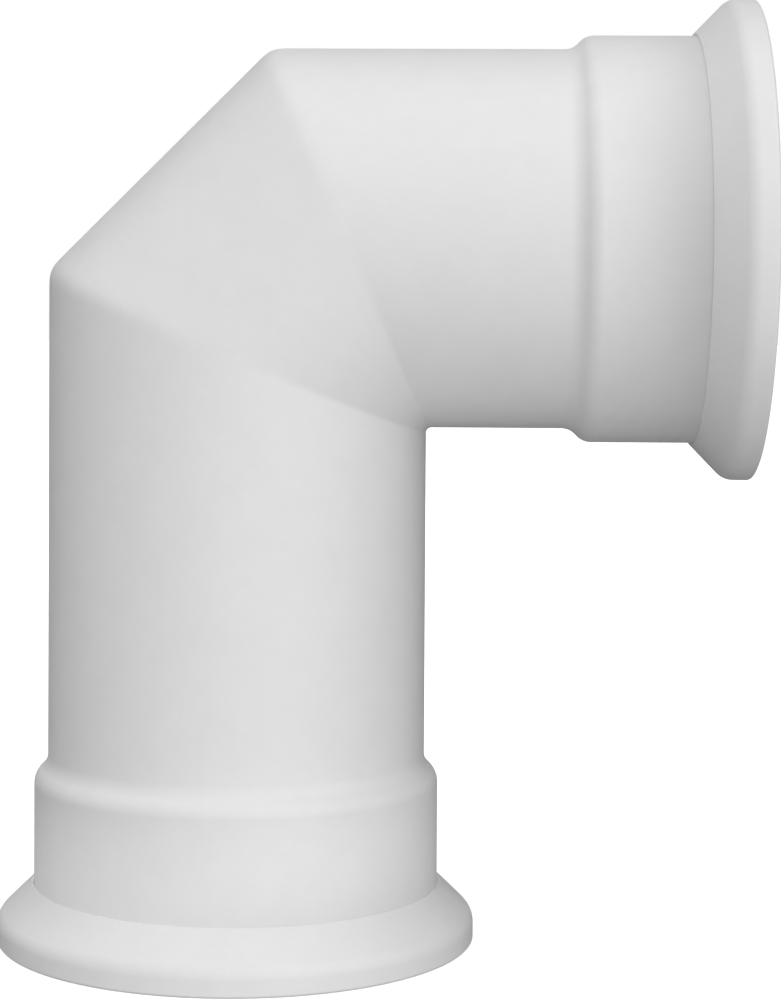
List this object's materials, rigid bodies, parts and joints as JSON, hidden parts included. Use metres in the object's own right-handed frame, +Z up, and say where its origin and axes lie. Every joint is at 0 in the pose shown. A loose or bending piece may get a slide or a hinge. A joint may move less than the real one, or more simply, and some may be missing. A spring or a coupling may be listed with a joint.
{
  "type": "concentric flue elbow",
  "caption": "Right-angle concentric flue elbow: mitred white air duct around a flue duct, with a push-fit sealed socket at each end.",
  "frame": {"origin": "centre of the lower mouth, in the plane of the lower rim's face", "axes": "+Z up the lower leg's axis, +X along the upper leg's axis towards the upper mouth"},
  "size_m": [0.1983, 0.1266, 0.2493],
  "materials": {
    "white_plastic": "satin moulded white polypropylene",
    "flue_plastic": "satin moulded light grey polypropylene",
    "seal_rubber": "matt black moulded rubber",
    "spacer_plastic": "natural moulded polypropylene"
  },
  "bodies": {
    "root": {"outer_elbow": "white_plastic", "lower_seal_cap": "white_plastic", "upper_seal_cap": "white_plastic", "lower_air_seal": "seal_rubber", "upper_air_seal": "seal_rubber", "lower_bend_seal": "seal_rubber", "upper_bend_seal": "seal_rubber", "lower_flue_seal": "seal_rubber", "upper_flue_seal": "seal_rubber", "inner_bend": "flue_plastic", "lower_flue_sleeve": "flue_plastic", "upper_flue_sleeve": "flue_plastic", "lower_spacer": "spacer_plastic", "upper_spacer": "spacer_plastic"}
  },
  "joints": []
}
